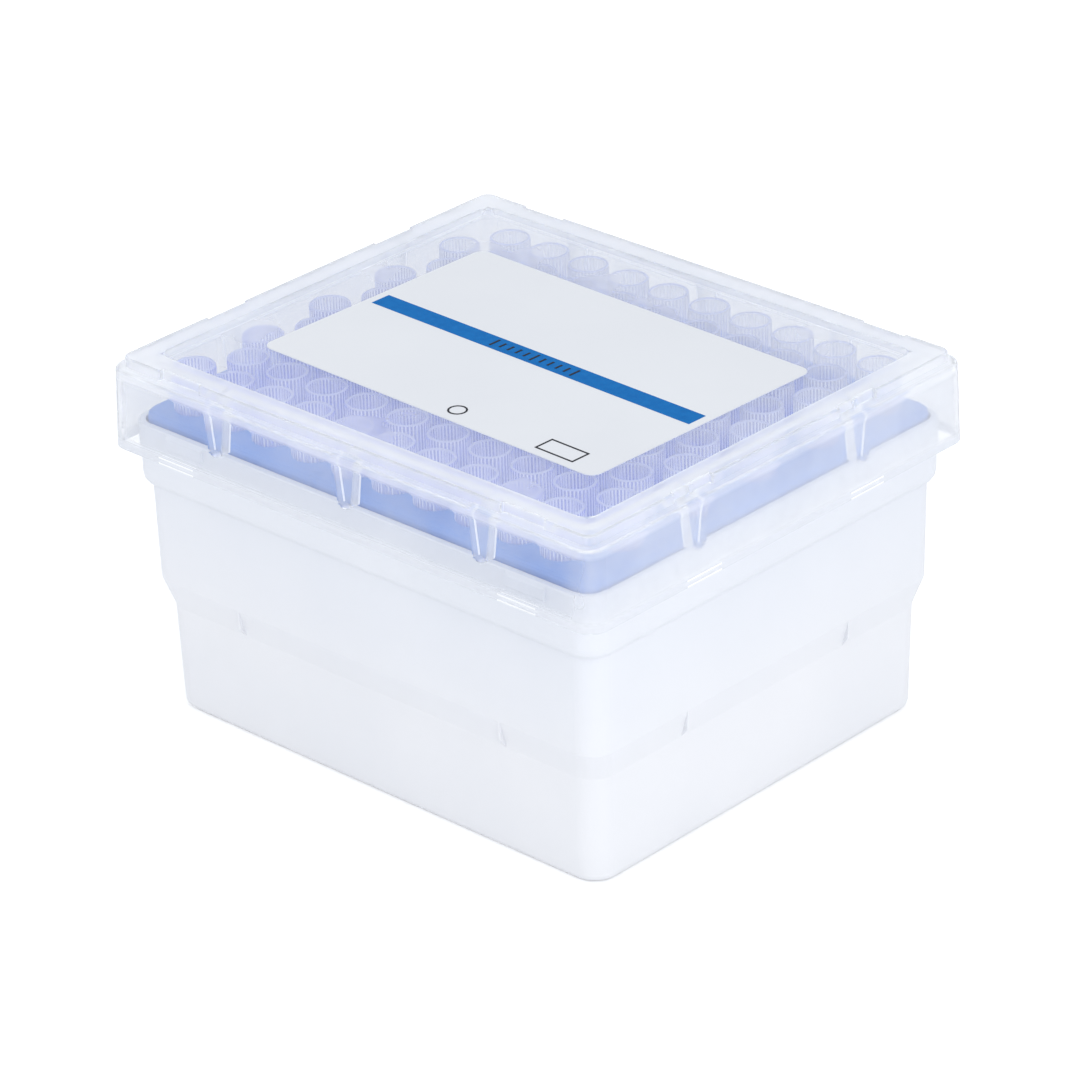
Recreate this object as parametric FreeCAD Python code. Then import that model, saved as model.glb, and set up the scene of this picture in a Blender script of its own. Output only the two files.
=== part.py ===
# Box of one hundred 1000 microlitre pipette tips: a drafted base, a blue rack tray,
# ten staggered rows of tips, and a lift-off lid that carries the label.
# Millimetres, +Z up, long side along X, origin at the middle of the base's underside.
import FreeCAD, Part
import math
import os

# tips
tipColumns = 10
tipRows = 10
tipPitch = 11.0  # centre to centre, along a row and to the rows beside it
tipLength = 71.5
tipHeadHeight = 8.7  # ribbed head that stands above the tray
tipHeadRadius = 4.32
tipHeadStep = 0.57  # ledge under the head that rests on the tray
tipMouthWall = 0.5
tipEndRadius = 0.75
tipEndWall = 0.35
tipSides = 8  # flats round each tip

# tray
trayMarginX = 8.15  # from the outermost tip's centre to the tray's side
trayMarginY = 7.73
trayPlate = 1.6
trayWall = 1.3
trayLean = 0.2  # draft of the skirt over its depth
traySkirtDepth = 14.0
trayRise = 2.0  # plate above the base's rim
trayEdgeRound = 1.2
trayHoleGap = 0.2  # round each tip's neck
trayGap = 0.25  # between the tray's skirt and the base
webThickness = 1.0
webDepth = 6.0

# base
baseWall = 1.5
baseFloor = 1.6
tipFloorGap = 2.4  # from the tips' ends to the floor
rimCorner = 5.0
rimChamfer = 0.3
collarHeight = 11.4
collarRound = 2.4  # height of the curve under the collar
collarInset = 1.33
upperLean = 0.32
stepHeight = 29.6  # top of the step, above the underside
stepDrop = 6.2
stepInset = 1.75
lowerLean = 0.5
bottomRound = 1.6
buttressWidth = 0.5

# lid
lidWall = 1.3
lidTop = 1.2
lidCorner = 4.2
lidInnerCorner = 1.0  # inside the border and the ridge
rimGap = 1.35  # between the lid's skirt and the base's rim
skirtOverlap = 5.4  # how far the skirt reaches down past the rim
skirtFlare = 0.4
shoulderRound = 0.8
ledgeWidth = 2.0  # from the skirt's face to the ridge
ridgeHeight = 2.1  # border above the ledge
ridgeChamfer = 0.3
borderWidth = 5.3  # from the ridge to the sunken panel
panelDepth = 1.3
panelCorner = 3.0
panelDraft = 0.3
lidTipGap = 0.6  # between the tips' mouths and the panel
notchLength = 11.0  # breaks in the ridge, over the catches
notchDepth = 1.0
stopTopWidth = 6.0  # tapered ribs that stand on the base's rim
stopEndWidth = 3.4
stopDepth = 2.4
stopGap = 0.3
gussetThickness = 1.0
gussetDrop = 3.0

# catches
catchEndX = 16.25  # from the rim's end to a catch's middle, on the long sides
catchEndY = 28.35  # on the short sides
stopEndX = 26.55
padLength = 10.2
padHeight = 3.6
padProud = 0.55
beadLength = 9.8
beadHeight = 1.2
beadRaise = 0.2  # above the skirt's lower edge
snapGap = 0.3

# label
labelMarginX = 12.0  # panel's side to the label
labelMarginY = 16.55
labelCorner = 2.5
labelThickness = 0.15
labelTurn = -1.4  # degrees, stuck on by hand
inkThickness = 0.05
stripeMargin = 1.9
stripeWidth = 4.85
tickCount = 11
tickPitch = 2.2
tickWidth = 0.5
tickHeight = 2.0
tickLongHeight = 3.0
markLine = 0.4
ringX = 5.4
ringUp = 4.25  # above the label's near edge
ringRadius = 2.05
ringSides = 16
frameEnd = 12.3  # from the label's end
frameUp = 4.55
frameLength = 10.0
frameWidth = 4.9

# what follows from them
rowPitch = tipPitch * math.sqrt(3) / 2
fieldX = (tipColumns - 1) * tipPitch + tipPitch / 2
fieldY = (tipRows - 1) * rowPitch
trayX = fieldX + 2 * trayMarginX
trayY = fieldY + 2 * trayMarginY
rimX = trayX + 2 * (trayGap + baseWall)
rimY = trayY + 2 * (trayGap + baseWall)
lidX = rimX + 2 * (rimGap + lidWall)
lidY = rimY + 2 * (rimGap + lidWall)

plateZ = baseFloor + tipFloorGap + tipLength - tipHeadHeight
rimZ = plateZ - trayRise
trayFootZ = plateZ - traySkirtDepth
collarZ = rimZ - collarHeight
wallTopZ = collarZ - collarRound
mouthZ = plateZ + tipHeadHeight
panelUnderZ = mouthZ + lidTipGap
panelZ = panelUnderZ + lidTop
borderZ = panelZ + panelDepth
ledgeZ = borderZ - ridgeHeight
skirtZ = rimZ - skirtOverlap

tipNeckRadius = tipHeadRadius - tipHeadStep
tipMouthRadius = tipHeadRadius - tipMouthWall
tipBoreEnd = tipEndRadius - tipEndWall
holeRadius = tipNeckRadius + trayHoleGap
trayCorner = rimCorner - baseWall - trayGap
panelInset = ledgeWidth + borderWidth
labelLength = lidX - 2 * (panelInset + labelMarginX)
labelWidth = lidY - 2 * (panelInset + labelMarginY)

catchX = rimX / 2 - catchEndX
catchY = rimY / 2 - catchEndY
stopX = rimX / 2 - stopEndX

catchPlaces = [(0, -catchX), (0, catchX), (1, -catchY), (1, catchY),
               (2, -catchX), (2, catchX), (3, -catchY), (3, catchY)]
stopPlaces = [(0, -stopX), (0, 0.0), (0, stopX), (1, -catchY), (1, catchY),
              (2, -stopX), (2, 0.0), (2, stopX), (3, -catchY), (3, catchY)]
buttressPlaces = [(0, -stopX), (0, stopX), (1, -catchY), (1, catchY),
                  (2, -stopX), (2, stopX), (3, -catchY), (3, catchY)]


def vec(x, y, z):
    return FreeCAD.Vector(x, y, z)


def roundedEdges(length, width, corner, z):
    # rounded rectangle about the Z axis: line and quarter arc for each of its four sides
    a, b, r = length / 2, width / 2, corner
    diagonal = r * math.sqrt(0.5)
    edges = []
    for quarter in range(4):
        p, q = (a, b) if quarter % 2 == 0 else (b, a)
        points = [vec(p, -q + r, z), vec(p, q - r, z),
                  vec(p - r + diagonal, q - r + diagonal, z), vec(p - r, q, z)]
        spin = FreeCAD.Rotation(vec(0, 0, 1), quarter * 90)
        points = [spin.multVec(point) for point in points]
        edges.append(Part.LineSegment(points[0], points[1]).toShape())
        edges.append(Part.Arc(points[1], points[2], points[3]).toShape())
    return edges


def cornerFace(low, high):
    # quarter round between two levels: swept straight, turned about one axis, or ruled
    start, end = low.valueAt(low.FirstParameter), high.valueAt(high.FirstParameter)
    centre, shift = low.Curve.Center, high.Curve.Center - low.Curve.Center
    if abs(low.Curve.Radius - high.Curve.Radius) < 1e-6:
        return low.extrude(end - start)
    if math.hypot(shift.x, shift.y) < 1e-6:
        return Part.LineSegment(start, end).toShape().revolve(centre, vec(0, 0, 1), 90)
    return Part.makeRuledSurface(low, high)


def flatFace(low, high):
    # flat strip between two parallel edges
    corners = [low.firstVertex().Point, low.lastVertex().Point,
               high.lastVertex().Point, high.firstVertex().Point]
    return Part.Face(Part.makePolygon(corners + corners[:1]))


def solidOf(faces):
    shell = Part.makeShell(faces)
    shell.sewShape()
    solid = Part.makeSolid(shell)
    if solid.Volume < 0:
        solid.reverse()
    return solid


def moulding(length, width, sections):
    # closed solid through rounded rectangles; a section is (inset, corner, z)
    rings = [roundedEdges(length - 2 * inset, width - 2 * inset, corner, z) for inset, corner, z in sections]
    faces = [Part.Face(Part.Wire(rings[0])), Part.Face(Part.Wire(rings[-1]))]
    for low, high in zip(rings, rings[1:]):
        for k in range(0, 8, 2):
            faces.append(flatFace(low[k], high[k]))
            faces.append(cornerFace(low[k + 1], high[k + 1]))
    return solidOf(faces)


def sideProfile(points, width):
    # points are (inward, z) on a wall's section; the solid is centred on the wall and runs along it
    corners = [vec(-width / 2, inward, z) for inward, z in points]
    face = Part.Face(Part.makePolygon(corners + corners[:1]))
    return face.extrude(vec(width, 0, 0))


def onSide(shape, length, width, place):
    # sets a shape made on the front wall on one of the four sides: 0 front, 1 right, 2 back, 3 left
    side, along = place
    reach = width / 2 if side % 2 == 0 else length / 2
    moved = shape.copy()
    moved.translate(vec(along, -reach, 0))
    moved.rotate(vec(0, 0, 0), vec(0, 0, 1), side * 90)
    return moved


def polygonPoints(radius, z, sides):
    # regular polygon with a corner on +X
    turns = [2 * math.pi * k / sides for k in range(sides + 1)]
    return [vec(radius * math.cos(t), radius * math.sin(t), z) for t in turns]


def polygonFace(radius, z, sides=tipSides):
    return Part.Face(Part.makePolygon(polygonPoints(radius, z, sides)))


def polygonRing(outer, inner, z, sides=tipSides):
    return polygonFace(outer, z, sides).cut(polygonFace(inner, z, sides)).Faces[0]


def polygonBand(low, high):
    # flats between two polygons; a ring is (radius, z)
    a, b = polygonPoints(*low, tipSides), polygonPoints(*high, tipSides)
    return [Part.Face(Part.makePolygon([a[k], a[k + 1], b[k + 1], b[k], a[k]])) for k in range(tipSides)]


def tipCentre(row, column):
    stagger = tipPitch / 4 if row % 2 == 0 else -tipPitch / 4
    x = (column - (tipColumns - 1) / 2) * tipPitch + stagger
    y = ((tipRows - 1) / 2 - row) * rowPitch
    return vec(x, y, 0)


def makeTip():
    # one tip on the Z axis: parallel head, step, long tapered body, tapered bore right through
    endZ = mouthZ - tipLength
    faces = polygonBand((tipHeadRadius, plateZ), (tipHeadRadius, mouthZ))
    faces += polygonBand((tipEndRadius, endZ), (tipNeckRadius, plateZ))
    faces += polygonBand((tipBoreEnd, endZ), (tipMouthRadius, mouthZ))
    faces.append(polygonRing(tipHeadRadius, tipNeckRadius, plateZ))
    faces.append(polygonRing(tipHeadRadius, tipMouthRadius, mouthZ))
    faces.append(polygonRing(tipEndRadius, tipBoreEnd, endZ))
    return solidOf(faces)


def makeTipRow(tip, row):
    copies = []
    for column in range(tipColumns):
        copy = tip.copy()
        copy.translate(tipCentre(row, column))
        copies.append(copy)
    return Part.makeCompound(copies)


def makeTray():
    # upside-down tray: drafted skirt that stands on the base's ledge, rounded edge, holed plate
    shoulderZ = plateZ - trayEdgeRound
    sections = [(0, trayCorner, trayFootZ), (trayLean, trayCorner, shoulderZ)]
    for step in (1, 2, 3):
        turn = math.radians(30 * step)
        inset = trayLean + trayEdgeRound * (1 - math.cos(turn))
        sections.append((inset, trayCorner, shoulderZ + trayEdgeRound * math.sin(turn)))
    shell = moulding(trayX, trayY, sections)
    innerCorner = trayCorner - trayWall
    underside = plateZ - trayPlate
    hollow = [(trayWall, innerCorner, trayFootZ), (trayWall + trayLean, innerCorner, underside)]
    tray = shell.cut(moulding(trayX, trayY, hollow))
    webLength = trayX - 2 * trayWall
    webCorner = vec(-webLength / 2, -webThickness / 2, underside - webDepth)
    web = Part.makeBox(webLength, webThickness, webDepth, webCorner)
    tray = tray.fuse(web)
    holes = []
    for row in range(tipRows):
        for column in range(tipColumns):
            hole = polygonFace(holeRadius, underside).extrude(vec(0, 0, trayPlate))
            hole.translate(tipCentre(row, column))
            holes.append(hole)
    return tray.cut(Part.makeCompound(holes)).removeSplitter()


def baseOutside():
    # from the underside up: rounded foot, lower wall, step, upper wall, curve under the collar, rim
    stepLowZ = stepHeight - stepDrop
    wallInset = collarInset + upperLean
    lowInset = wallInset + stepInset
    footInset = lowInset + lowerLean
    sections = []
    for step in (3, 2, 1, 0):
        turn = math.radians(30 * step)
        inset = footInset + bottomRound * (1 - math.cos(turn))
        sections.append((inset, rimCorner, bottomRound * (1 - math.sin(turn))))
    sections += [(lowInset, rimCorner, stepLowZ), (wallInset, rimCorner, stepHeight)]
    for step in (3, 2, 1, 0):
        turn = math.radians(30 * step)
        inset = collarInset * (1 - math.cos(turn))
        sections.append((inset, rimCorner, collarZ - collarRound * math.sin(turn)))
    sections += [(0, rimCorner, rimZ - rimChamfer), (rimChamfer, rimCorner, rimZ)]
    return moulding(rimX, rimY, sections)


def baseInside():
    # the outside moved in by the wall, with the ledge that carries the tray
    stepLowZ = stepHeight - stepDrop
    corner = rimCorner - baseWall
    upper = collarInset + baseWall
    wall = upper + upperLean
    low = wall + stepInset
    foot = low + lowerLean
    sections = [(foot + bottomRound / 2, corner, baseFloor), (foot, corner, baseFloor + bottomRound / 2),
                (low, corner, stepLowZ), (wall, corner, stepHeight), (upper, corner, trayFootZ)]
    well = moulding(rimX, rimY, sections)
    seat = moulding(rimX, rimY, [(baseWall, corner, trayFootZ), (baseWall, corner, rimZ)])
    return well.fuse(seat)


def makeButtress():
    # thin gusset that fills the corner under the step
    wallInset = collarInset + upperLean
    lowInset = wallInset + stepInset
    deep = lowInset + baseWall / 2
    footZ = stepHeight - stepDrop
    points = [(wallInset, stepHeight), (wallInset + lowerLean / 2, footZ + stepDrop / 3),
              (lowInset, footZ), (deep, footZ), (deep, stepHeight)]
    return sideProfile(points, buttressWidth)


def makePad():
    # raised catch on the rim's outer face, chamfered above and below
    root = baseWall / 2
    points = [(root, rimZ), (rimChamfer, rimZ), (-padProud, rimZ - rimChamfer - padProud),
              (-padProud, rimZ - padHeight + padProud), (0, rimZ - padHeight), (root, rimZ - padHeight)]
    return sideProfile(points, padLength)


def makeBase():
    base = baseOutside().cut(baseInside())
    buttress = makeButtress()
    pad = makePad()
    extras = [onSide(buttress, rimX, rimY, place) for place in buttressPlaces]
    extras += [onSide(pad, rimX, rimY, place) for place in catchPlaces]
    return base.fuse(extras).removeSplitter()


def lidOutside():
    # flared skirt, rounded shoulder, ledge, ridge
    shoulderZ = ledgeZ - shoulderRound
    sections = [(-skirtFlare, lidCorner, skirtZ), (0, lidCorner, shoulderZ)]
    for step in (1, 2, 3):
        turn = math.radians(30 * step)
        inset = shoulderRound * (1 - math.cos(turn))
        sections.append((inset, lidCorner - inset, shoulderZ + shoulderRound * math.sin(turn)))
    body = moulding(lidX, lidY, sections)
    ridgeCorner = lidCorner - ledgeWidth
    ridge = [(ledgeWidth, ridgeCorner, ledgeZ), (ledgeWidth, ridgeCorner, borderZ - ridgeChamfer),
             (ledgeWidth + ridgeChamfer, ridgeCorner - ridgeChamfer, borderZ)]
    return body.fuse(moulding(lidX, lidY, ridge))


def lidInside():
    # hollow under the ledge and the panel, and the channel that runs under the border
    corner = lidCorner - lidWall
    roofZ = ledgeZ - lidTop
    riser = ledgeWidth + lidWall
    hollow = moulding(lidX, lidY, [(lidWall - skirtFlare, corner, skirtZ), (lidWall, corner, roofZ)])
    under = moulding(lidX, lidY, [(riser, lidInnerCorner, roofZ), (riser, lidInnerCorner, panelUnderZ)])
    channelZ = borderZ - lidTop
    wallInset = panelInset - lidTop
    outer = moulding(lidX, lidY, [(riser, lidInnerCorner, panelUnderZ), (riser, lidInnerCorner, channelZ)])
    inner = moulding(lidX, lidY, [(wallInset, panelCorner, panelUnderZ), (wallInset, panelCorner, channelZ)])
    channel = outer.cut(inner)
    pad = Part.makeBox(notchLength + 2 * lidWall, notchDepth, channelZ - panelUnderZ,
                       vec(-notchLength / 2 - lidWall, riser, panelUnderZ))
    channel = channel.cut([onSide(pad, lidX, lidY, place) for place in catchPlaces])
    return hollow.fuse([under, channel])


def makeStop():
    # tapered rib with a rounded end, standing just above the base's rim
    topZ = ledgeZ - lidTop / 2
    endZ = rimZ + stopGap
    top, end = stopTopWidth / 2, stopEndWidth / 2
    bulge = end / 3
    arc = Part.Arc(vec(-end, 0, endZ + bulge), vec(0, 0, endZ), vec(end, 0, endZ + bulge)).toShape()
    sides = Part.makePolygon([vec(end, 0, endZ + bulge), vec(top, 0, topZ), vec(-top, 0, topZ),
                              vec(-end, 0, endZ + bulge)])
    face = Part.Face(Part.Wire([arc] + sides.Edges))
    stop = face.extrude(vec(0, stopDepth + lidWall / 2, 0))
    stop.translate(vec(0, lidWall / 2, 0))
    return stop


def makeGusset():
    # web from a stop rib, under the border, to the panel's wall
    channelZ = borderZ - lidTop
    root = ledgeWidth + lidWall / 2
    end = panelInset - lidTop / 2
    points = [(root, panelUnderZ - gussetDrop), (root, channelZ + lidTop / 2), (end, channelZ + lidTop / 2),
              (end, panelUnderZ + lidTop / 2), (panelInset - lidTop, panelUnderZ)]
    return sideProfile(points, gussetThickness)


def makeBead():
    # snap bead inside the skirt's lower edge
    tipInset = lidWall + rimGap - padProud - snapGap
    root = lidWall / 2 - skirtFlare
    low = skirtZ + beadRaise
    points = [(root, low), (lidWall - skirtFlare, low), (tipInset, low + beadHeight / 2),
              (lidWall - skirtFlare, low + beadHeight), (root, low + beadHeight)]
    return sideProfile(points, beadLength)


def makeLid():
    lid = lidOutside().cut(lidInside())
    recessSections = [(panelInset + panelDraft, panelCorner, panelZ), (panelInset, panelCorner, borderZ)]
    recess = moulding(lidX, lidY, recessSections)
    notch = Part.makeBox(notchLength, notchDepth + ledgeWidth, ridgeHeight, vec(-notchLength / 2, 0, ledgeZ))
    notches = [onSide(notch, lidX, lidY, place) for place in catchPlaces]
    lid = lid.cut([recess] + notches)
    ribs = [onSide(makeStop(), lidX, lidY, place) for place in stopPlaces]
    ribs += [onSide(makeGusset(), lidX, lidY, place) for place in stopPlaces]
    ribs += [onSide(makeBead(), lidX, lidY, place) for place in catchPlaces]
    return lid.fuse(ribs).removeSplitter()


def turned(shape):
    shape.rotate(vec(0, 0, 0), vec(0, 0, 1), labelTurn)
    return shape


def makeLabel():
    face = Part.Face(Part.Wire(roundedEdges(labelLength, labelWidth, labelCorner, panelZ)))
    return turned(face.extrude(vec(0, 0, labelThickness)))


def makeStripe():
    length = labelLength - 2 * stripeMargin
    corner = vec(-length / 2, -stripeWidth / 2, panelZ + labelThickness)
    return turned(Part.makeBox(length, stripeWidth, inkThickness, corner))


def makeTicks():
    # plain scale printed over the stripe, every fifth tick longer
    ticks = []
    for k in range(tickCount):
        x = (k - (tickCount - 1) / 2) * tickPitch
        height = tickLongHeight if k % 5 == 0 else tickHeight
        corner = vec(x - tickWidth / 2, -height / 2, panelZ + labelThickness + inkThickness)
        ticks.append(Part.makeBox(tickWidth, height, inkThickness, corner))
    return turned(Part.makeCompound(ticks))


def makeMarks():
    # plain ring and plain empty frame near the label's front edge
    z = panelZ + labelThickness
    edge = -labelWidth / 2
    ring = polygonRing(ringRadius, ringRadius - markLine, z, ringSides).extrude(vec(0, 0, inkThickness))
    ring.translate(vec(ringX, edge + ringUp, 0))
    left, low = labelLength / 2 - frameEnd - frameLength / 2, edge + frameUp - frameWidth / 2
    outer = Part.makeBox(frameLength, frameWidth, inkThickness, vec(left, low, z))
    inner = Part.makeBox(frameLength - 2 * markLine, frameWidth - 2 * markLine, inkThickness,
                         vec(left + markLine, low + markLine, z))
    return turned(Part.makeCompound([ring, outer.cut(inner)]))


def build():
    os.makedirs("parts", exist_ok=True)
    pieces = {"base": makeBase(), "lid": makeLid(), "tray": makeTray(), "label": makeLabel(),
              "label_stripe": makeStripe(), "label_ticks": makeTicks(), "label_marks": makeMarks()}
    tip = makeTip()
    for row in range(tipRows):
        pieces["tips_row_%02d" % (row + 1)] = makeTipRow(tip, row)
    for name, shape in pieces.items():
        shape.exportStep("parts/" + name + ".step")


build()
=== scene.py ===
import math
import bpy
import numpy as np
from mathutils import Matrix, Vector


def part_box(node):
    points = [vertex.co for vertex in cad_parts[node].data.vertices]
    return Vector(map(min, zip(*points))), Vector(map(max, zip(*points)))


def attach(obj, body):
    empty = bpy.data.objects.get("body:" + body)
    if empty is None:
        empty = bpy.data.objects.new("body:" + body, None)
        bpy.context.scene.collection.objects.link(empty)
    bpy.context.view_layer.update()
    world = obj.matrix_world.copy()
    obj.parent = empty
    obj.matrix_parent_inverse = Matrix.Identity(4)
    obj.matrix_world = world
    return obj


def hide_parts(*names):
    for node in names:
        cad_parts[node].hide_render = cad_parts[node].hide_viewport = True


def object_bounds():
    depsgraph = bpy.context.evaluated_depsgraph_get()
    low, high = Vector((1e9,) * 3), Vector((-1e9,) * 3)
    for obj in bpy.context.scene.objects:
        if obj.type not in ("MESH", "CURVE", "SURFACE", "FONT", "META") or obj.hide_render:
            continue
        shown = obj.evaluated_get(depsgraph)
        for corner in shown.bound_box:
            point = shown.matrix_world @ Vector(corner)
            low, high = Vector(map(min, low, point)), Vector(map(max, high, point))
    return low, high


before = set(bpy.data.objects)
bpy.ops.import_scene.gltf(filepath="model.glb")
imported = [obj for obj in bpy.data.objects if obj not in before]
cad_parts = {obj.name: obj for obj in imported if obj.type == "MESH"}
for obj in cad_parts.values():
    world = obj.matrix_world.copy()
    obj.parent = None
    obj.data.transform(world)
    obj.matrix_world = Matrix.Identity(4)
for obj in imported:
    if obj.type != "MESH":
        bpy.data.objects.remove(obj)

cadLow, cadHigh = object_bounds()
print("frame loaded, %d parts" % len(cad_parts))

cloudDetail = 3.0                     # slow drift of colour
grainDetail = 2.0                     # fine grain of a skin
seenRays = ("Is Camera Ray", "Is Glossy Ray", "Is Transmission Ray")


def newMaterial(name):
    mat = bpy.data.materials.new(name)
    mat.use_nodes = True
    mat.node_tree.nodes.clear()
    return mat, mat.node_tree


def addNode(tree, kind, **values):
    # keyword names are either node properties or input sockets, spaces written as _
    node = tree.nodes.new(kind)
    for key, value in values.items():
        if hasattr(node, key):
            setattr(node, key, value)
        else:
            node.inputs[key.replace("_", " ")].default_value = value
    return node


def link(tree, source, target):
    tree.links.new(source, target)


def objectNoise(tree, scale, detail, stretch=(1, 1, 1)):
    # noise on Object coordinates, scale in features per metre
    coords = addNode(tree, "ShaderNodeTexCoord")
    mapping = addNode(tree, "ShaderNodeMapping")
    mapping.inputs["Scale"].default_value = stretch
    noise = addNode(tree, "ShaderNodeTexNoise", Scale=scale, Detail=detail)
    link(tree, coords.outputs["Object"], mapping.inputs["Vector"])
    link(tree, mapping.outputs["Vector"], noise.inputs["Vector"])
    return noise.outputs["Fac"]


def spread(tree, value, low, high, fromLow=0.3, fromHigh=0.7):
    # maps a noise value onto low..high
    node = addNode(tree, "ShaderNodeMapRange")
    node.inputs["From Min"].default_value = fromLow
    node.inputs["From Max"].default_value = fromHigh
    node.inputs["To Min"].default_value = low
    node.inputs["To Max"].default_value = high
    link(tree, value, node.inputs["Value"])
    return node.outputs["Result"]


def blendColours(tree, value, colourA, colourB, fromLow=0.3, fromHigh=0.7):
    ramp = addNode(tree, "ShaderNodeValToRGB")
    ramp.color_ramp.elements[0].position = fromLow
    ramp.color_ramp.elements[1].position = fromHigh
    ramp.color_ramp.elements[0].color = (*colourA, 1)
    ramp.color_ramp.elements[1].color = (*colourB, 1)
    link(tree, value, ramp.inputs["Fac"])
    return ramp.outputs["Color"]


def bump(tree, value, distance):
    node = addNode(tree, "ShaderNodeBump", Strength=1.0, Distance=distance)
    link(tree, value, node.inputs["Height"])
    return node.outputs["Normal"]


def maths(tree, operation, a, b=None):
    # one sum on two values, each a socket or a plain number
    node = addNode(tree, "ShaderNodeMath", operation=operation)
    for socket, value in zip(node.inputs, (a, b)):
        if isinstance(value, bpy.types.NodeSocket):
            link(tree, value, socket)
        elif value is not None:
            socket.default_value = value
    return node.outputs[0]


def mixValues(tree, share, a, b):
    # a where share is 0, b where it is 1; each is a number, a colour or a socket
    colours = any(isinstance(k, tuple) or getattr(k, "type", "") == "RGBA" for k in (a, b))
    kind = "RGBA" if colours else "VALUE"
    node = addNode(tree, "ShaderNodeMix", data_type="RGBA" if colours else "FLOAT")
    first, second = [k for k in node.inputs if k.name in "AB" and k.type == kind]
    for socket, value in ((first, a), (second, b)):
        if isinstance(value, bpy.types.NodeSocket):
            link(tree, value, socket)
        else:
            socket.default_value = (*value, 1) if colours else value
    link(tree, share, node.inputs["Factor"])
    return next(k for k in node.outputs if k.type == kind)


def objectPlace(tree):
    # the three Object coordinates, in metres
    coords = addNode(tree, "ShaderNodeTexCoord")
    split = addNode(tree, "ShaderNodeSeparateXYZ")
    link(tree, coords.outputs["Object"], split.inputs["Vector"])
    return split.outputs


def mixShaders(tree, share, first, second):
    mixer = addNode(tree, "ShaderNodeMixShader")
    if isinstance(share, bpy.types.NodeSocket):
        link(tree, share, mixer.inputs["Fac"])
    else:
        mixer.inputs["Fac"].default_value = share
    link(tree, first, mixer.inputs[1])
    link(tree, second, mixer.inputs[2])
    return mixer.outputs[0]


def finish(tree, shader):
    out = addNode(tree, "ShaderNodeOutputMaterial")
    link(tree, shader, out.inputs["Surface"])


def edgeOn(tree, low, high, power):
    # low where a surface faces the eye, rising with this power to high where it is met edge on
    facing = addNode(tree, "ShaderNodeLayerWeight", Blend=0.5)
    return spread(tree, maths(tree, "POWER", facing.outputs["Facing"], power), low, high, 0.0, 1.0)


def milkShader(tree, colour, through):
    # scattered light: part thrown back, part passed on to the other side
    back = addNode(tree, "ShaderNodeBsdfDiffuse")
    onward = addNode(tree, "ShaderNodeBsdfTranslucent")
    link(tree, colour, back.inputs["Color"])
    link(tree, colour, onward.inputs["Color"])
    return mixShaders(tree, through, back.outputs[0], onward.outputs[0])


def eitherRay(tree, *names):
    # 1 for a ray of any of the named kinds
    path = addNode(tree, "ShaderNodeLightPath")
    total = path.outputs[names[0]]
    for name in names[1:]:
        total = maths(tree, "MAXIMUM", total, path.outputs[name])
    return total


def letLightPast(tree, shader, share, tint):
    # lamps and bounced light pass straight through by this share, so what lies behind stays lit
    passing = addNode(tree, "ShaderNodeBsdfTransparent")
    passing.inputs["Color"].default_value = (*tint, 1)
    bounced = eitherRay(tree, "Is Shadow Ray", "Is Diffuse Ray")
    return mixShaders(tree, maths(tree, "MULTIPLY", bounced, share), shader, passing.outputs[0])


lidPlastic = {
    "milkDark": (0.86, 0.865, 0.885), "milkLight": (0.90, 0.905, 0.92), "through": 0.25,
    "milkTop": (0.93, 0.935, 0.945), "milkLow": (0.79, 0.805, 0.845),   # border and ridge, lower edge
    "highlightTone": (1.0, 1.0, 1.0),                                        # painted highlights along the edges of ribs and beads
    "clearTint": (0.935, 0.938, 0.947),
    "milkPanel": 0.11, "milkBorder": 0.40, "milkSkirt": 0.16, "milkRib": 0.38, "milkFoot": 0.75,
    # share of milk in the painted highlight lines
    "highlightShare": 0.92,
    "milkEnd": 0.32, "endFade": (0.0008, 0.0085),           # the two end walls are hazier
    "milkGrazing": 0.6, "grazing": 3.0,                     # added where it is met edge on
    "cloudScale": 55, "cloud": 0.05,
    "haze": 0.03, "hazeBorder": 0.04, "bendTop": 1.25, "bendSkirt": 1.15,
    "past": 1.0, "lampTint": (0.96, 0.97, 0.99),            # lamps' light that goes straight through
    # zones, in metres from the lid's outer box
    "panelInset": 0.0082, "ribInset": 0.0020, "topDepth": 0.0040, "footHeight": 0.0018, "fade": 0.0004,
    # the snap beads show only as painted highlight lines along their edges; the tapered ribs get painted
    # highlight lines too
    "beadInset": (0.0193, 0.0314), "beadLength": 0.0098,    # snap beads along each side
    "beadMiddle": 0.0008, "beadHalf": 0.0006, "beadHighlightWidth": 0.00017, "beadReach": 0.0025,
    "stopInset": (0.0296, 0.0314), "stopTop": 0.0030, "stopEnd": 0.0017,   # tapered ribs, half widths
    "stopEndZ": 0.0062, "stopDrop": 0.0028, "stopFace": 0.0036, "stopHighlightWidth": 0.00015,
}


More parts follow.
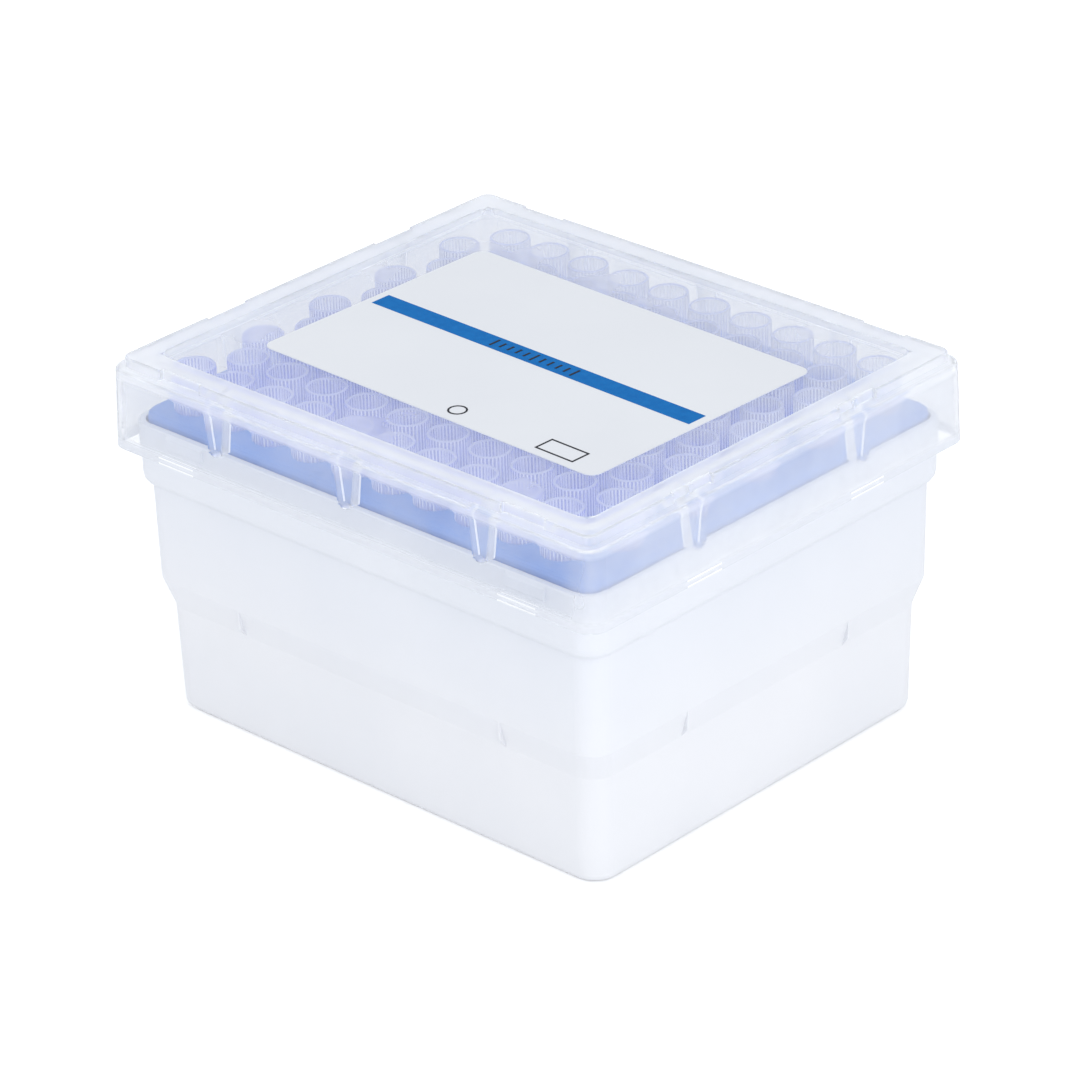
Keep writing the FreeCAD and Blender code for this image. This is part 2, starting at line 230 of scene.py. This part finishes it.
def lidZones(tree, s, tone):
    # share of milk, haze, bending and tone by zone: clear panel and side walls, hazier end walls,
    # milkier border, ribs and lower edge, each fading into the next over a short way; painted highlights,
    # pale lines, stand for the edges of the snap beads and of the tapered ribs
    low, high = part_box("lid")
    x, y, z = objectPlace(tree)

    def past(value, edge):
        return spread(tree, value, 0.0, 1.0, edge - s["fade"], edge + s["fade"])

    def apart(value, middle):
        return maths(tree, "ABSOLUTE", maths(tree, "SUBTRACT", value, middle))

    def under(value, limit):
        return maths(tree, "LESS_THAN", value, limit)

    def both(a, b):
        return maths(tree, "MULTIPLY", a, b)

    # how far in from the end walls and from the side walls a place lies, and the nearer of the two
    insets = [maths(tree, "SUBTRACT", (high[k] - low[k]) / 2, apart(along, (high[k] + low[k]) / 2))
              for k, along in enumerate((x, y))]
    inset = maths(tree, "MINIMUM", *insets)
    onRib = past(inset, s["ribInset"])
    aboveFoot = past(z, low.z + s["footHeight"])
    onTop = past(z, high.z - s["topDepth"])
    onPanel = past(inset, s["panelInset"])
    border = both(onTop, maths(tree, "SUBTRACT", 1.0, onPanel))
    wall = spread(tree, insets[0], s["milkEnd"], s["milkSkirt"], *s["endFade"])
    share = mixValues(tree, onRib, wall, s["milkRib"])
    share = mixValues(tree, aboveFoot, s["milkFoot"], share)
    share = mixValues(tree, onTop, share, s["milkBorder"])
    share = mixValues(tree, onPanel, share, s["milkPanel"])
    haze = mixValues(tree, border, s["haze"], s["hazeBorder"])
    bend = mixValues(tree, onTop, s["bendSkirt"], s["bendTop"])
    tone = mixValues(tree, border, tone, s["milkTop"])
    tone = mixValues(tree, aboveFoot, s["milkLow"], tone)

    # painted highlight: a line where a place lies as far from the middle of a bead or a rib as its edge
    # does
    beadEdgeHighlight = under(apart(apart(z, low.z + s["beadMiddle"]), s["beadHalf"]), s["beadHighlightWidth"])
    stopTopZ = high.z - s["stopDrop"]
    taper = spread(tree, z, s["stopEnd"], s["stopTop"], low.z + s["stopEndZ"], stopTopZ)
    lines = []
    for k in (0, 1):
        alongWall, fromWall = insets[k], insets[1 - k]
        onBead = both(under(apart(alongWall, s["beadInset"][k]), s["beadLength"] / 2),
                      under(fromWall, s["beadReach"]))
        lines.append(both(onBead, beadEdgeHighlight))
        places = [s["stopInset"][k]]
        if k == 0:
            places.append((high.x - low.x) / 2)      # the long sides have a rib in the middle too
        for place in places:
            stopEdgeHighlight = under(apart(apart(alongWall, place), taper), s["stopHighlightWidth"])
            behindFace = maths(tree, "GREATER_THAN", fromWall, s["stopFace"])
            lines.append(both(both(stopEdgeHighlight, behindFace), under(z, stopTopZ)))
    line = lines[0]
    for other in lines[1:]:
        line = maths(tree, "MAXIMUM", line, other)
    # the painted highlight lines get their own milk share and a white tone
    share = mixValues(tree, line, share, s["highlightShare"])
    tone = mixValues(tree, line, tone, s["highlightTone"])
    return share, haze, bend, tone


def makeLidMaterial(s):
    # clear sheet that bends light, with a share of milk that grows where it is met edge on
    mat, tree = newMaterial("lidPlastic")
    cloud = objectNoise(tree, s["cloudScale"], cloudDetail)
    tone = blendColours(tree, cloud, s["milkDark"], s["milkLight"])
    share, haze, bend, tone = lidZones(tree, s, tone)
    clear = addNode(tree, "ShaderNodeBsdfGlass")
    clear.inputs["Color"].default_value = (*s["clearTint"], 1)
    link(tree, haze, clear.inputs["Roughness"])
    link(tree, bend, clear.inputs["IOR"])
    total = maths(tree, "ADD", share, edgeOn(tree, 0.0, s["milkGrazing"], s["grazing"]))
    total = maths(tree, "ADD", total, spread(tree, cloud, -s["cloud"], s["cloud"]))
    sheet = mixShaders(tree, total, clear.outputs[0], milkShader(tree, tone, s["through"]))
    finish(tree, letLightPast(tree, sheet, s["past"], s["lampTint"]))
    return mat


basePlastic = {
    "colourA": (0.845, 0.855, 0.89), "colourB": (0.88, 0.885, 0.915),
    "trayLightTint": (0.955, 0.972, 0.998), "trayLightFrom": 0.022, "trayLightTo": 0.050,   # painted blue light from the tray, and the heights where it fades
    "glow": (0.92, 0.94, 1.0), "glowShare": 0.14,
    "bend": 1.49, "cloudScale": 28, "roughLow": 0.34, "roughHigh": 0.46,
    "grainScale": 1500, "grain": 0.00002,
}


def makeBaseMaterial(s):
    # thick milky plastic: satin skin over a share that lets light through; painted blue light from the
    # tray tints the upper part of the walls and fades out below it
    mat, tree = newMaterial("basePlastic")
    cloud = objectNoise(tree, s["cloudScale"], cloudDetail)
    skin = addNode(tree, "ShaderNodeBsdfPrincipled", IOR=s["bend"])
    colour = blendColours(tree, cloud, s["colourA"], s["colourB"])
    height = objectPlace(tree)[2]
    # painted blue light from the tray on the upper walls
    trayLit = addNode(tree, "ShaderNodeMix", data_type="RGBA", blend_type="MULTIPLY")
    link(tree, spread(tree, height, 0.0, 1.0, s["trayLightFrom"], s["trayLightTo"]), trayLit.inputs[0])
    link(tree, colour, trayLit.inputs[6])
    trayLit.inputs[7].default_value = (*s["trayLightTint"], 1)
    link(tree, trayLit.outputs[2], skin.inputs["Base Color"])
    link(tree, spread(tree, cloud, s["roughLow"], s["roughHigh"]), skin.inputs["Roughness"])
    grain = objectNoise(tree, s["grainScale"], grainDetail)
    link(tree, bump(tree, grain, s["grain"]), skin.inputs["Normal"])
    glow = addNode(tree, "ShaderNodeBsdfTranslucent")
    glow.inputs["Color"].default_value = (*s["glow"], 1)
    finish(tree, mixShaders(tree, s["glowShare"], skin.outputs[0], glow.outputs[0]))
    return mat


plasticBend = 1.47                    # of the tray, the label and its inks

trayPlastic = {
    "colourA": (0.09, 0.235, 0.64), "colourB": (0.135, 0.295, 0.73), "specular": 0.4, "past": 0.0,
    "cloudScale": 40, "roughLow": 0.26, "roughHigh": 0.4,
    "grainScale": 1800, "grain": 0.00002,
}

labelFilm = {
    "colourA": (0.69, 0.71, 0.755), "colourB": (0.715, 0.735, 0.775), "specular": 0.4, "past": 0.85,
    "cloudScale": 35, "roughLow": 0.38, "roughHigh": 0.5,
    "grainScale": 3000, "grain": 0.000008,
}

stripeInk = {
    "colourA": (0.006, 0.130, 0.41), "colourB": (0.012, 0.158, 0.46), "specular": 0.03, "past": 0.85,
    "cloudScale": 700, "roughLow": 0.5, "roughHigh": 0.6,
    "grainScale": 5000, "grain": 0.000006,
}

darkInk = {
    "colourA": (0.008, 0.010, 0.016), "colourB": (0.02, 0.022, 0.03), "specular": 0.12, "past": 0.0,
    "cloudScale": 1500, "roughLow": 0.5, "roughHigh": 0.6,
    "grainScale": 5000, "grain": 0.000006,
}


def makeSolidMaterial(name, s):
    # plastic, film or ink with slow colour drift and a fine grain; a thin one lets some light past
    mat, tree = newMaterial(name)
    cloud = objectNoise(tree, s["cloudScale"], cloudDetail)
    skin = addNode(tree, "ShaderNodeBsdfPrincipled", IOR=plasticBend, Specular_IOR_Level=s["specular"])
    link(tree, blendColours(tree, cloud, s["colourA"], s["colourB"]), skin.inputs["Base Color"])
    link(tree, spread(tree, cloud, s["roughLow"], s["roughHigh"]), skin.inputs["Roughness"])
    grain = objectNoise(tree, s["grainScale"], grainDetail)
    link(tree, bump(tree, grain, s["grain"]), skin.inputs["Normal"])
    shader = skin.outputs[0]
    if s["past"]:
        shader = letLightPast(tree, shader, s["past"], (1, 1, 1))
    finish(tree, shader)
    return mat


tipPlastic = {
    "valleyLow": (0.54, 0.61, 0.98), "valleyInnerShade": (0.24, 0.32, 0.88),   # painted blue light from the tray between ribs at the plate, darker painted shade on inner tips
    "valleyNearShade": (0.20, 0.28, 0.87), "valleyFar": (0.56, 0.58, 0.76),    # painted shade between ribs at the mouth, deep blue at the near rows
    "peakLowHighlight": (0.92, 0.94, 1.0), "peakInnerHighlight": (0.66, 0.72, 0.99),        # painted highlights on ribs, graded the same way
    "peakNearHighlight": (1.0, 1.0, 1.0), "peakFarHighlight": (0.94, 0.95, 0.96),
    "edgeNearShade": (0.20, 0.28, 0.90), "edgeFarShade": (0.74, 0.76, 0.88), "edgeShadePower": 1.0,   # painted shade where a head is met edge on
    # painted blue light from the tray on each head's foot, and the lip's tone
    "footTrayLight": (0.50, 0.58, 0.90), "rim": (0.70, 0.74, 0.95),
    "near": -0.045, "far": 0.026, "clearFrom": 0.022, "clearTo": 0.038,   # places along y, metres
    "outerRow": 0.009,                                    # width of the outermost row, metres
    "ribFrom": -0.2, "ribTo": 0.8,                        # the wave's values at a rib's foot and top
    "rimFrom": 0.02, "boreFrom": 0.602,                   # the wrap map's v, at the lip and in the bore
    "fadeFrom": 0.35, "footHeight": 0.12,                 # shares of the head's height
    "raggedScale": 1300, "raggedDetail": 1.0, "raggedStretch": (1, 1, 0.02),
    "ragged": 0.0016,                                     # how far the foot's edge wanders, metres
    "milkValley": 0.42, "milkPeak": 0.86, "milkRim": 0.66, "milkFoot": 0.75,
    "boreMilk": 0.85, "farMilk": 0.5,                     # shares kept in the bore and in the far rows
    "milkGrazing": 0.30, "grazing": 2.5, "through": 0.5, "clearTint": (0.985, 0.99, 1.0),
    "glossLow": 0.02, "gloss": 0.14, "glossRough": 0.15, "glossPower": 4.0,
}


def makeTipMaterial(s, ribs, plateZ, mouthZ):
    # thin clear plastic with a share of milk, more on the ribs, which follow a cosine of the wrap
    # map's u; u runs once round the tip, v is 0 outside, rises over the lip and is above one half in
    # the bore, where the ribs show through. The tones are painted light: painted blue light from the
    # tray and painted shade fade up each head, and along the box from blue at the near rows to grey and
    # clearer at the far ones; the rib peaks carry painted highlights and the outermost tips are paler at
    # the plate, where more light reaches them; painted shade darkens a head where it is met edge on,
    # and painted blue light from the tray colours the foot of each head up to a ragged line
    mat, tree = newMaterial("tipPlastic")
    wrap = addNode(tree, "ShaderNodeUVMap", uv_map="wrap")
    split = addNode(tree, "ShaderNodeSeparateXYZ")
    link(tree, wrap.outputs["UV"], split.inputs["Vector"])
    u, v = split.outputs[0], split.outputs[1]
    x, y, z = objectPlace(tree)

    def beyond(value, limit):
        return maths(tree, "GREATER_THAN", value, limit)

    wave = maths(tree, "COSINE", maths(tree, "MULTIPLY", u, 2 * math.pi * ribs))
    ribShare = spread(tree, wave, 0.0, 1.0, s["ribFrom"], s["ribTo"])
    onRib = maths(tree, "MULTIPLY", ribShare, beyond(z, plateZ))
    inBore = beyond(v, s["boreFrom"])
    onRim = maths(tree, "MULTIPLY", beyond(v, s["rimFrom"]), maths(tree, "LESS_THAN", v, s["boreFrom"]))
    headHeight = mouthZ - plateZ
    rise = spread(tree, z, 0.0, 1.0, plateZ + s["fadeFrom"] * headHeight, mouthZ)
    depth = spread(tree, y, 0.0, 1.0, s["near"], s["far"])
    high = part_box("tips_row_01")[1]
    outer = maths(tree, "MAXIMUM",
                  beyond(maths(tree, "ABSOLUTE", x), high.x - s["outerRow"]),
                  beyond(maths(tree, "ABSOLUTE", y), abs(high.y) - s["outerRow"]))
    # painted light: blue from the tray and shade, darker on inner tips and bluer at near rows; painted
    # highlights on the rib peaks
    valley = mixValues(tree, rise, mixValues(tree, outer, s["valleyInnerShade"], s["valleyLow"]),
                       mixValues(tree, depth, s["valleyNearShade"], s["valleyFar"]))
    peak = mixValues(tree, rise, mixValues(tree, outer, s["peakInnerHighlight"], s["peakLowHighlight"]),
                     mixValues(tree, depth, s["peakNearHighlight"], s["peakFarHighlight"]))
    colour = mixValues(tree, onRib, valley, peak)
    # painted shade where a head is met edge on, bluer at the near rows
    edge = maths(tree, "MULTIPLY", rise, edgeOn(tree, 0.0, 1.0, s["edgeShadePower"]))
    colour = mixValues(tree, edge, colour, mixValues(tree, depth, s["edgeNearShade"], s["edgeFarShade"]))
    colour = mixValues(tree, onRim, colour, s["rim"])
    share = mixValues(tree, onRib, s["milkValley"], s["milkPeak"])
    share = maths(tree, "MULTIPLY", share, mixValues(tree, inBore, 1.0, s["boreMilk"]))
    share = maths(tree, "MULTIPLY", share, spread(tree, y, 1.0, s["farMilk"], s["clearFrom"], s["clearTo"]))
    share = mixValues(tree, onRim, share, s["milkRim"])
    share = maths(tree, "ADD", share, edgeOn(tree, 0.0, s["milkGrazing"], s["grazing"]))
    # painted blue light from the tray on the foot of each head, up to a ragged line
    streaks = objectNoise(tree, s["raggedScale"], s["raggedDetail"], s["raggedStretch"])
    height = maths(tree, "ADD", z, spread(tree, streaks, -s["ragged"], s["ragged"]))
    foot = spread(tree, height, 1.0, 0.0, plateZ, plateZ + s["footHeight"] * headHeight)
    colour = mixValues(tree, foot, colour, s["footTrayLight"])
    share = mixValues(tree, foot, share, s["milkFoot"])
    clear = addNode(tree, "ShaderNodeBsdfTransparent")
    clear.inputs["Color"].default_value = (*s["clearTint"], 1)
    wall = mixShaders(tree, share, clear.outputs[0], milkShader(tree, colour, s["through"]))
    gloss = addNode(tree, "ShaderNodeBsdfGlossy", Roughness=s["glossRough"])
    glossShare = edgeOn(tree, s["glossLow"], s["gloss"], s["glossPower"])
    finish(tree, mixShaders(tree, glossShare, wall, gloss.outputs[0]))
    return mat


def dress(node, mat):
    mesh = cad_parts[node].data
    mesh.materials.clear()
    mesh.materials.append(mat)


dress("lid", makeLidMaterial(lidPlastic))
dress("base", makeBaseMaterial(basePlastic))
dress("tray", makeSolidMaterial("trayPlastic", trayPlastic))
dress("label", makeSolidMaterial("labelFilm", labelFilm))
dress("label_stripe", makeSolidMaterial("stripeInk", stripeInk))
inkDark = makeSolidMaterial("darkInk", darkInk)
dress("label_ticks", inkDark)
dress("label_marks", inkDark)
print("plastics and print done")


tipShape = {
    "rows": 10, "perRow": 10,
    "ribs": 36, "around": 24,       # ribs on the head, columns on the plain parts
    "ribDepth": 0.00020,
    "headHeight": 0.0087, "neckInset": 0.00080,
    "ribTop": 0.0010, "bandInset": 0.00006, "lipRound": 0.00018,
    "mouthWall": 0.00055, "endRadius": 0.00073, "endWall": 0.00033,
    "sharpAngle": 28,               # degrees; flatter joins between faces are smoothed
    "lipV": (0.4, 0.6),             # the wrap map's v at the lip's outer and inner edge
}


def ring(count, radius, z):
    # circle of points; radius may be one number or one per point
    turn = np.arange(count) * (2 * np.pi / count)
    return np.stack([radius * np.cos(turn), radius * np.sin(turn), np.full(count, z)], 1)


def bandFaces(lower, upper, count):
    # quads between two rings of the same count, given their first vertex numbers
    k = np.arange(count)
    n = (k + 1) % count
    return np.stack([lower + k, lower + n, upper + n, upper + k], 1)


def joinFaces(fine, coarse, fineCount, coarseCount, flip):
    # one many-sided face for each coarse step, taking in the fine steps beside it
    step = fineCount // coarseCount
    k = np.arange(coarseCount)
    outer = fine + (k[:, None] * step + np.arange(step + 1)[None, :]) % fineCount
    inner = coarse + np.stack([(k + 1) % coarseCount, k], 1)
    faces = np.concatenate([outer, inner], 1)
    return faces[:, ::-1] if flip else faces


def tipSurface(s, headRadius, endZ, mouthZ):
    # lathe: rings of radius against height, up the outside and back down the bore;
    # on the head the radius steps in and out by ribDepth from one column to the next
    fine, plain = 2 * s["ribs"], s["around"]
    stepZ = mouthZ - s["headHeight"]
    ribbed = headRadius - s["ribDepth"] * (np.arange(fine) % 2)
    band = headRadius - s["bandInset"]
    mouth = headRadius - s["mouthWall"]
    rings = [
        # columns, radius, height, v of the wrap map
        (plain, s["endRadius"], endZ, 0),
        (plain, headRadius - s["neckInset"], stepZ, 0),
        (fine, ribbed, stepZ, 0),
        (fine, ribbed, mouthZ - s["ribTop"], 0),
        (plain, band, mouthZ - s["ribTop"] + 2 * s["ribDepth"], 0),
        (plain, band, mouthZ - s["lipRound"], 0),
        (plain, band - s["lipRound"], mouthZ, s["lipV"][0]),
        (plain, mouth, mouthZ, s["lipV"][1]),
        (plain, s["endRadius"] - s["endWall"], endZ, 1),
    ]
    points = [ring(*r[:3]) for r in rings]
    wrap = np.concatenate([np.stack([np.arange(n) / n, np.full(n, v)], 1) for n, _, _, v in rings])
    starts = np.cumsum([0] + [len(p) for p in points])
    quads, joins = [], []
    for i in range(len(rings)):
        j = (i + 1) % len(rings)
        a, b = rings[i][0], rings[j][0]
        if a == b:
            quads.append(bandFaces(starts[i], starts[j], a))
        elif a < b:
            joins.append(joinFaces(starts[j], starts[i], b, a, True))
        else:
            joins.append(joinFaces(starts[i], starts[j], a, b, False))
    return np.concatenate(points), wrap, np.concatenate(quads), np.concatenate(joins)


def wrapCorners(wrap, faces):
    # each face corner's place on the wrap map, with u carried past 1 on the faces that close the circle
    corners = wrap[faces]
    u = corners[:, :, 0]
    u[(u < 0.5) & (u.max(1, keepdims=True) - u.min(1, keepdims=True) > 0.5)] += 1
    return corners.reshape(-1, 2)


def makeTipRow(s, row, mat):
    # the same lathed surface repeated at the tips' centres, which lie evenly along the row
    node = "tips_row_%02d" % row
    low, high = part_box(node)
    headRadius = (high.y - low.y) / 2
    xs = np.linspace(low.x + headRadius, high.x - headRadius, s["perRow"])
    points, wrap, quads, joins = tipSurface(s, headRadius, low.z, high.z)
    centres = np.stack([xs, np.full(s["perRow"], (low.y + high.y) / 2), np.zeros(s["perRow"])], 1)
    offsets = np.arange(s["perRow"])[:, None, None] * len(points)      # first vertex of each tip
    allPoints = (points[None] + centres[:, None]).reshape(-1, 3)
    allQuads = (quads[None] + offsets).reshape(-1, quads.shape[1])
    allJoins = (joins[None] + offsets).reshape(-1, joins.shape[1])
    mesh = bpy.data.meshes.new("tipsRow%02d" % row)
    mesh.from_pydata(allPoints.tolist(), [], allQuads.tolist() + allJoins.tolist())
    corners = np.concatenate([np.tile(wrapCorners(wrap, quads), (s["perRow"], 1)),
                              np.tile(wrapCorners(wrap, joins), (s["perRow"], 1))])
    mesh.uv_layers.new(name="wrap").data.foreach_set("uv", corners.ravel())
    mesh.polygons.foreach_set("use_smooth", np.ones(len(mesh.polygons), bool))
    mesh.set_sharp_from_angle(angle=math.radians(s["sharpAngle"]))
    mesh.materials.append(mat)
    mesh.update()
    piece = bpy.data.objects.new("tipsRow%02d" % row, mesh)
    bpy.context.scene.collection.objects.link(piece)
    piece.visible_shadow = False      # thin clear walls, many deep: light goes past them
    piece.visible_diffuse = False
    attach(piece, "box")
    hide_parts(node)


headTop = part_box("tips_row_01")[1].z
plateTop = headTop - tipShape["headHeight"]
tipMaterial = makeTipMaterial(tipPlastic, tipShape["ribs"], plateTop, headTop)
for rowNumber in range(1, tipShape["rows"] + 1):
    makeTipRow(tipShape, rowNumber, tipMaterial)
print("tips done")


floorLook = {
    "size": 3.0, "steps": 8, "colour": (0.93, 0.935, 0.945), "paler": 1.015,
    "lift": 0.2,                    # glow that only the eye sees, so the paper reads nearly white
    "cloudScale": 6,
}


def makeFloor(s):
    # flat sheet: x and y are the size times two parameters from -1 to 1, z is zero
    steps, across = s["steps"], s["steps"] + 1
    u, v = np.meshgrid(np.linspace(-1, 1, across), np.linspace(-1, 1, across))
    points = np.stack([u.ravel() * s["size"], v.ravel() * s["size"], np.zeros(u.size)], 1)
    k = (np.arange(steps)[:, None] * across + np.arange(steps)[None, :]).ravel()
    faces = np.stack([k, k + 1, k + across + 1, k + across], 1)
    mesh = bpy.data.meshes.new("floor")
    mesh.from_pydata(points.tolist(), [], faces.tolist())
    mat, tree = newMaterial("floorPaper")
    paper = addNode(tree, "ShaderNodeBsdfDiffuse")
    cloud = objectNoise(tree, s["cloudScale"], grainDetail)
    paler = tuple(min(1.0, c * s["paler"]) for c in s["colour"])
    link(tree, blendColours(tree, cloud, s["colour"], paler), paper.inputs["Color"])
    lift = addNode(tree, "ShaderNodeEmission")
    link(tree, maths(tree, "MULTIPLY", eitherRay(tree, *seenRays), s["lift"]), lift.inputs["Strength"])
    both = addNode(tree, "ShaderNodeAddShader")
    link(tree, paper.outputs[0], both.inputs[0])
    link(tree, lift.outputs[0], both.inputs[1])
    finish(tree, both.outputs[0])
    mesh.materials.append(mat)
    floor = bpy.data.objects.new("floor", mesh)
    bpy.context.scene.collection.objects.link(floor)


def direction(azimuth, elevation):
    # unit vector: azimuth in degrees round from -y towards +x, elevation up from the floor
    a, e = math.radians(azimuth), math.radians(elevation)
    return Vector((math.sin(a) * math.cos(e), -math.cos(a) * math.cos(e), math.sin(e)))


lightPlan = {
    "sky": (0.96, 0.98, 1.0), "skyStrength": 0.88,      # what lights the object
    "backdrop": (1, 1, 1), "backdropStrength": 1.0,     # what is seen behind it
    "lamps": [
        # name, azimuth, elevation, distance, size, power
        ("keyRight", 70, 25, 1.1, 0.9, 3.7),
        ("fillLeft", -20, 30, 1.2, 1.0, 1.7),
        ("topSoft", 200, 75, 1.2, 1.0, 1.4),
    ],
}


def makeLight(s):
    world = bpy.data.worlds.new("studio")
    bpy.context.scene.world = world
    world.use_nodes = True
    tree = world.node_tree
    tree.nodes.clear()
    sky = addNode(tree, "ShaderNodeBackground", Color=(*s["sky"], 1), Strength=s["skyStrength"])
    backdrop = addNode(tree, "ShaderNodeBackground",
                       Color=(*s["backdrop"], 1), Strength=s["backdropStrength"])
    mixed = mixShaders(tree, eitherRay(tree, *seenRays), sky.outputs[0], backdrop.outputs[0])
    out = addNode(tree, "ShaderNodeOutputWorld")
    link(tree, mixed, out.inputs["Surface"])
    aim = (cadLow + cadHigh) / 2
    for name, azimuth, elevation, distance, size, power in s["lamps"]:
        data = bpy.data.lights.new(name, "AREA")
        data.energy = power
        data.size = size
        lamp = bpy.data.objects.new(name, data)
        back = direction(azimuth, elevation)
        lamp.location = aim + back * distance
        lamp.rotation_mode = "QUATERNION"
        lamp.rotation_quaternion = (-back).to_track_quat("-Z", "Y")
        bpy.context.scene.collection.objects.link(lamp)


cameraView = {
    "aim": (0.00211, -0.00234, 0.03877), "azimuth": 43.59, "elevation": 26.845, "roll": -1.85,
    "distance": 1.0332, "lens": 172.16, "sensor": 36.0, "clipStart": 0.01, "clipEnd": 20,
}


def makeCamera(s):
    back = direction(s["azimuth"], s["elevation"])
    right = direction(s["azimuth"] + 90, 0)
    up = back.cross(right)
    turn = Matrix.Rotation(math.radians(s["roll"]), 3, back)
    right, up = turn @ right, turn @ up
    data = bpy.data.cameras.new("camera")
    data.lens = s["lens"]
    data.sensor_width = s["sensor"]
    data.clip_start = s["clipStart"]
    data.clip_end = s["clipEnd"]
    camera = bpy.data.objects.new("camera", data)
    place = Matrix((right, up, back)).transposed().to_4x4()
    place.translation = Vector(s["aim"]) + back * s["distance"]
    camera.matrix_world = place
    bpy.context.scene.collection.objects.link(camera)
    bpy.context.scene.camera = camera


makeFloor(floorLook)
makeLight(lightPlan)
makeCamera(cameraView)
bpy.context.scene.view_settings.view_transform = "Standard"
print("floor, light and camera done")
